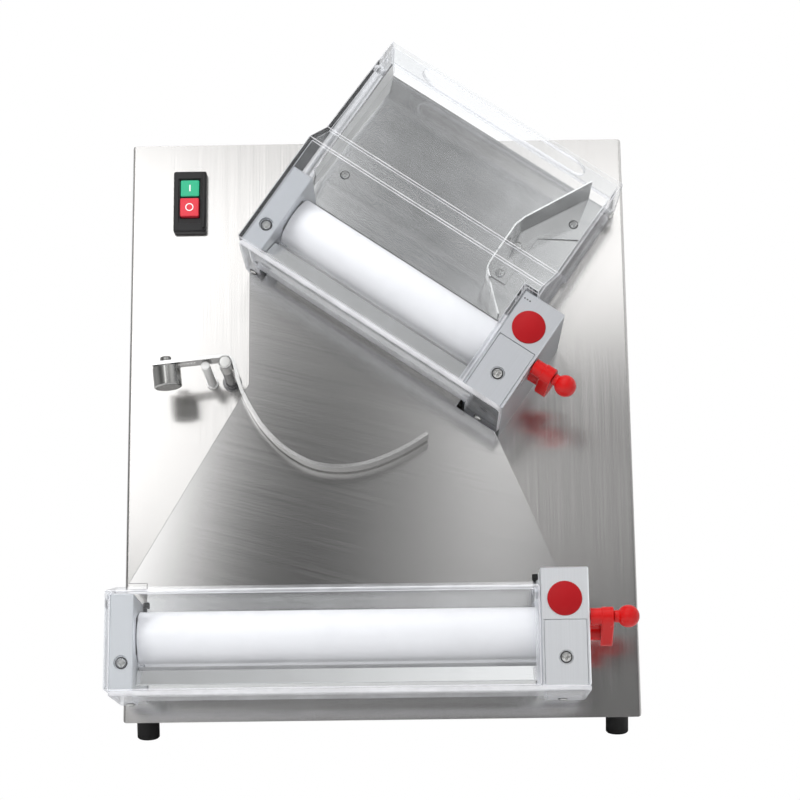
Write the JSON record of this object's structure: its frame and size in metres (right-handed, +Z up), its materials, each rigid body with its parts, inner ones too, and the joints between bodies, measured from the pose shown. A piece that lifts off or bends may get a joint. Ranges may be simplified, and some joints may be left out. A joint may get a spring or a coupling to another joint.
{
  "type": "two-stage dough roller",
  "caption": "Electric dough sheeter on a leaning steel housing: tilted upper and level lower roller pairs, clear guards, chute with weighted arm, thickness levers and push-button switch.",
  "frame": {"origin": "centre of the bounding box footprint, at the underside of the feet", "axes": "+Z up, -Y to the front where the rollers are, +X to the right seen from the front"},
  "size_m": [0.481, 0.4202, 0.6477],
  "materials": {
    "brushed_steel": "vertical brushed grain",
    "arm_metal": "polished",
    "polished_steel": "polished",
    "block_metal": "satin anodised",
    "cast_metal": "cast",
    "shaft_steel": "turned",
    "roller_white": "smooth food grade white",
    "pin_white": "smooth",
    "gear_plastic": "natural",
    "lever_red": "moulded",
    "cap_red": "fine grained",
    "clear_plastic": "clear polycarbonate",
    "switch_black": "moulded",
    "rubber_black": "moulded",
    "button_green": "moulded",
    "button_red": "moulded",
    "motor_paint": "painted"
  },
  "bodies": {
    "housing": {"body_shell": "brushed_steel", "base_plate": "brushed_steel", "rear_cover": "brushed_steel", "cable_gland": "switch_black", "foot_1": "rubber_black", "foot_2": "rubber_black", "foot_3": "rubber_black", "foot_4": "rubber_black", "chute_plate": "brushed_steel", "hopper_plate": "brushed_steel", "hopper_guide": "brushed_steel", "lower_block_left": "block_metal", "lower_block_right": "block_metal", "lower_block_cover": "block_metal", "lower_cap": "cap_red", "lower_scraper_rear": "brushed_steel", "lower_scraper_front": "brushed_steel", "lower_finger_plate": "clear_plastic", "upper_block_left": "block_metal", "upper_block_right": "block_metal", "upper_block_cover": "block_metal", "upper_cap": "cap_red", "upper_scraper_rear": "brushed_steel", "upper_scraper_front": "brushed_steel", "upper_finger_plate": "clear_plastic", "switch_body": "switch_black", "arm_post": "polished_steel", "stop_pin": "pin_white", "pivot_screw": "shaft_steel", "gearmotor": "motor_paint", "angle_box": "cast_metal", "drive_belt": "rubber_black"},
    "drive": {"drive_shaft": "shaft_steel", "lower_drive_gear": "gear_plastic"},
    "input": {"input_pulley": "shaft_steel"},
    "output": {"output_shaft": "shaft_steel", "upper_drive_gear": "gear_plastic"},
    "lower_rear": {"lower_roller_rear": "roller_white", "lower_gear_rear": "gear_plastic"},
    "lower_carriage": {"lower_slide_left": "shaft_steel", "lower_yoke": "shaft_steel"},
    "lower_front": {"lower_roller_front": "roller_white", "lower_gear_front": "gear_plastic"},
    "lower_lever": {"lower_lever": "lever_red"},
    "lower_pin": {"lower_index_pin": "lever_red"},
    "upper_rear": {"upper_roller_rear": "roller_white", "upper_gear_rear": "gear_plastic"},
    "upper_carriage": {"upper_slide_left": "shaft_steel", "upper_yoke": "shaft_steel"},
    "upper_front": {"upper_roller_front": "roller_white", "upper_gear_front": "gear_plastic"},
    "upper_lever": {"upper_lever": "lever_red"},
    "upper_pin": {"upper_index_pin": "lever_red"},
    "hood": {"hood": "clear_plastic"},
    "lower_guard": {"lower_guard": "clear_plastic"},
    "arm": {"balance_arm": "arm_metal", "counterweight": "polished_steel"},
    "on_button": {"on_button": "button_green"},
    "off_button": {"off_button": "button_red"}
  },
  "joints": [
    {"name": "drive_turn", "type": "hinge", "parent": "housing", "child": "drive", "pos_m": [0.1005, -0.04462, 0.07277], "axis": [-1, 0, 0], "continuous": true},
    {"name": "input_turn", "type": "hinge", "parent": "housing", "child": "input", "pos_m": [0.0205, 0.05874, 0.35673], "axis": [-1, 0, 0], "continuous": true},
    {"name": "output_turn", "type": "hinge", "parent": "housing", "child": "output", "pos_m": [0.10201, 0.04708, 0.32471], "axis": [-0.8231, 0.1942, 0.5336], "continuous": true},
    {"name": "lower_rear_turn", "type": "hinge", "parent": "housing", "child": "lower_rear", "pos_m": [-0.03575, -0.10664, 0.09534], "axis": [-1, 0, 0], "continuous": true},
    {"name": "lower_thickness", "type": "slide", "parent": "housing", "child": "lower_carriage", "axis": [0, -0.9397, 0.342], "range_m": [0, 0.00399]},
    {"name": "lower_front_turn", "type": "hinge", "parent": "lower_carriage", "child": "lower_front", "pos_m": [-0.03575, -0.15174, 0.11176], "axis": [-1, 0, 0], "continuous": true},
    {"name": "lower_lever_turn", "type": "hinge", "parent": "housing", "child": "lower_lever", "pos_m": [0.1935, -0.15174, 0.11176], "axis": [1, 0, 0], "range_deg": [0, 42]},
    {"name": "lower_pin_pull", "type": "slide", "parent": "lower_lever", "child": "lower_pin", "axis": [1, 0, 0], "range_m": [0, 0.005], "stiffness_N_per_m": 900, "springref_m": -0.004},
    {"name": "upper_rear_turn", "type": "hinge", "parent": "housing", "child": "upper_rear", "pos_m": [0.01571, 0.00543, 0.40323], "axis": [-0.8231, 0.1942, 0.5336], "continuous": true},
    {"name": "upper_thickness", "type": "slide", "parent": "housing", "child": "upper_carriage", "axis": [0, -0.9397, 0.342], "range_m": [0, 0.00399]},
    {"name": "upper_front_turn", "type": "hinge", "parent": "upper_carriage", "child": "upper_front", "pos_m": [0.01571, -0.03968, 0.41965], "axis": [-0.8231, 0.1942, 0.5336], "continuous": true},
    {"name": "upper_lever_turn", "type": "hinge", "parent": "housing", "child": "upper_lever", "pos_m": [0.14836, -0.07098, 0.33366], "axis": [0.8231, -0.1942, -0.5336], "range_deg": [0, 42]},
    {"name": "upper_pin_pull", "type": "slide", "parent": "upper_lever", "child": "upper_pin", "axis": [0.8231, -0.1942, -0.5336], "range_m": [0, 0.005], "stiffness_N_per_m": 900, "springref_m": -0.004},
    {"name": "hood_lift", "type": "hinge", "parent": "housing", "child": "hood", "pos_m": [0.12646, 0.06681, 0.54264], "axis": [-0.8231, 0.1942, 0.5336], "range_deg": [0, 75]},
    {"name": "guard_lift", "type": "hinge", "parent": "housing", "child": "lower_guard", "pos_m": [0.0005, -0.12063, 0.1446], "axis": [-1, 0, 0], "range_deg": [0, 72]},
    {"name": "arm_swing", "type": "hinge", "parent": "housing", "child": "arm", "pos_m": [-0.14, -0.04925, 0.34656], "axis": [0, 0.9397, -0.342], "range_deg": [0, 28]},
    {"name": "on_press", "type": "slide", "parent": "housing", "child": "on_button", "axis": [0, 0.9397, -0.342], "range_m": [0, 0.002], "stiffness_N_per_m": 600, "springref_m": -0.002},
    {"name": "off_press", "type": "slide", "parent": "housing", "child": "off_button", "axis": [0, 0.9397, -0.342], "range_m": [0, 0.002], "stiffness_N_per_m": 600, "springref_m": -0.002}
  ],
  "couplings": [
    {"joint": "input_turn", "follows": "drive_turn", "ratio": 1},
    {"joint": "output_turn", "follows": "drive_turn", "ratio": 1},
    {"joint": "lower_rear_turn", "follows": "drive_turn", "ratio": -1.75},
    {"joint": "lower_front_turn", "follows": "drive_turn", "ratio": 1.75},
    {"joint": "lower_lever_turn", "follows": "lower_thickness", "rad_per_m": 183.5},
    {"joint": "upper_rear_turn", "follows": "drive_turn", "ratio": -1.75},
    {"joint": "upper_front_turn", "follows": "drive_turn", "ratio": 1.75},
    {"joint": "upper_lever_turn", "follows": "upper_thickness", "rad_per_m": 183.5}
  ]
}
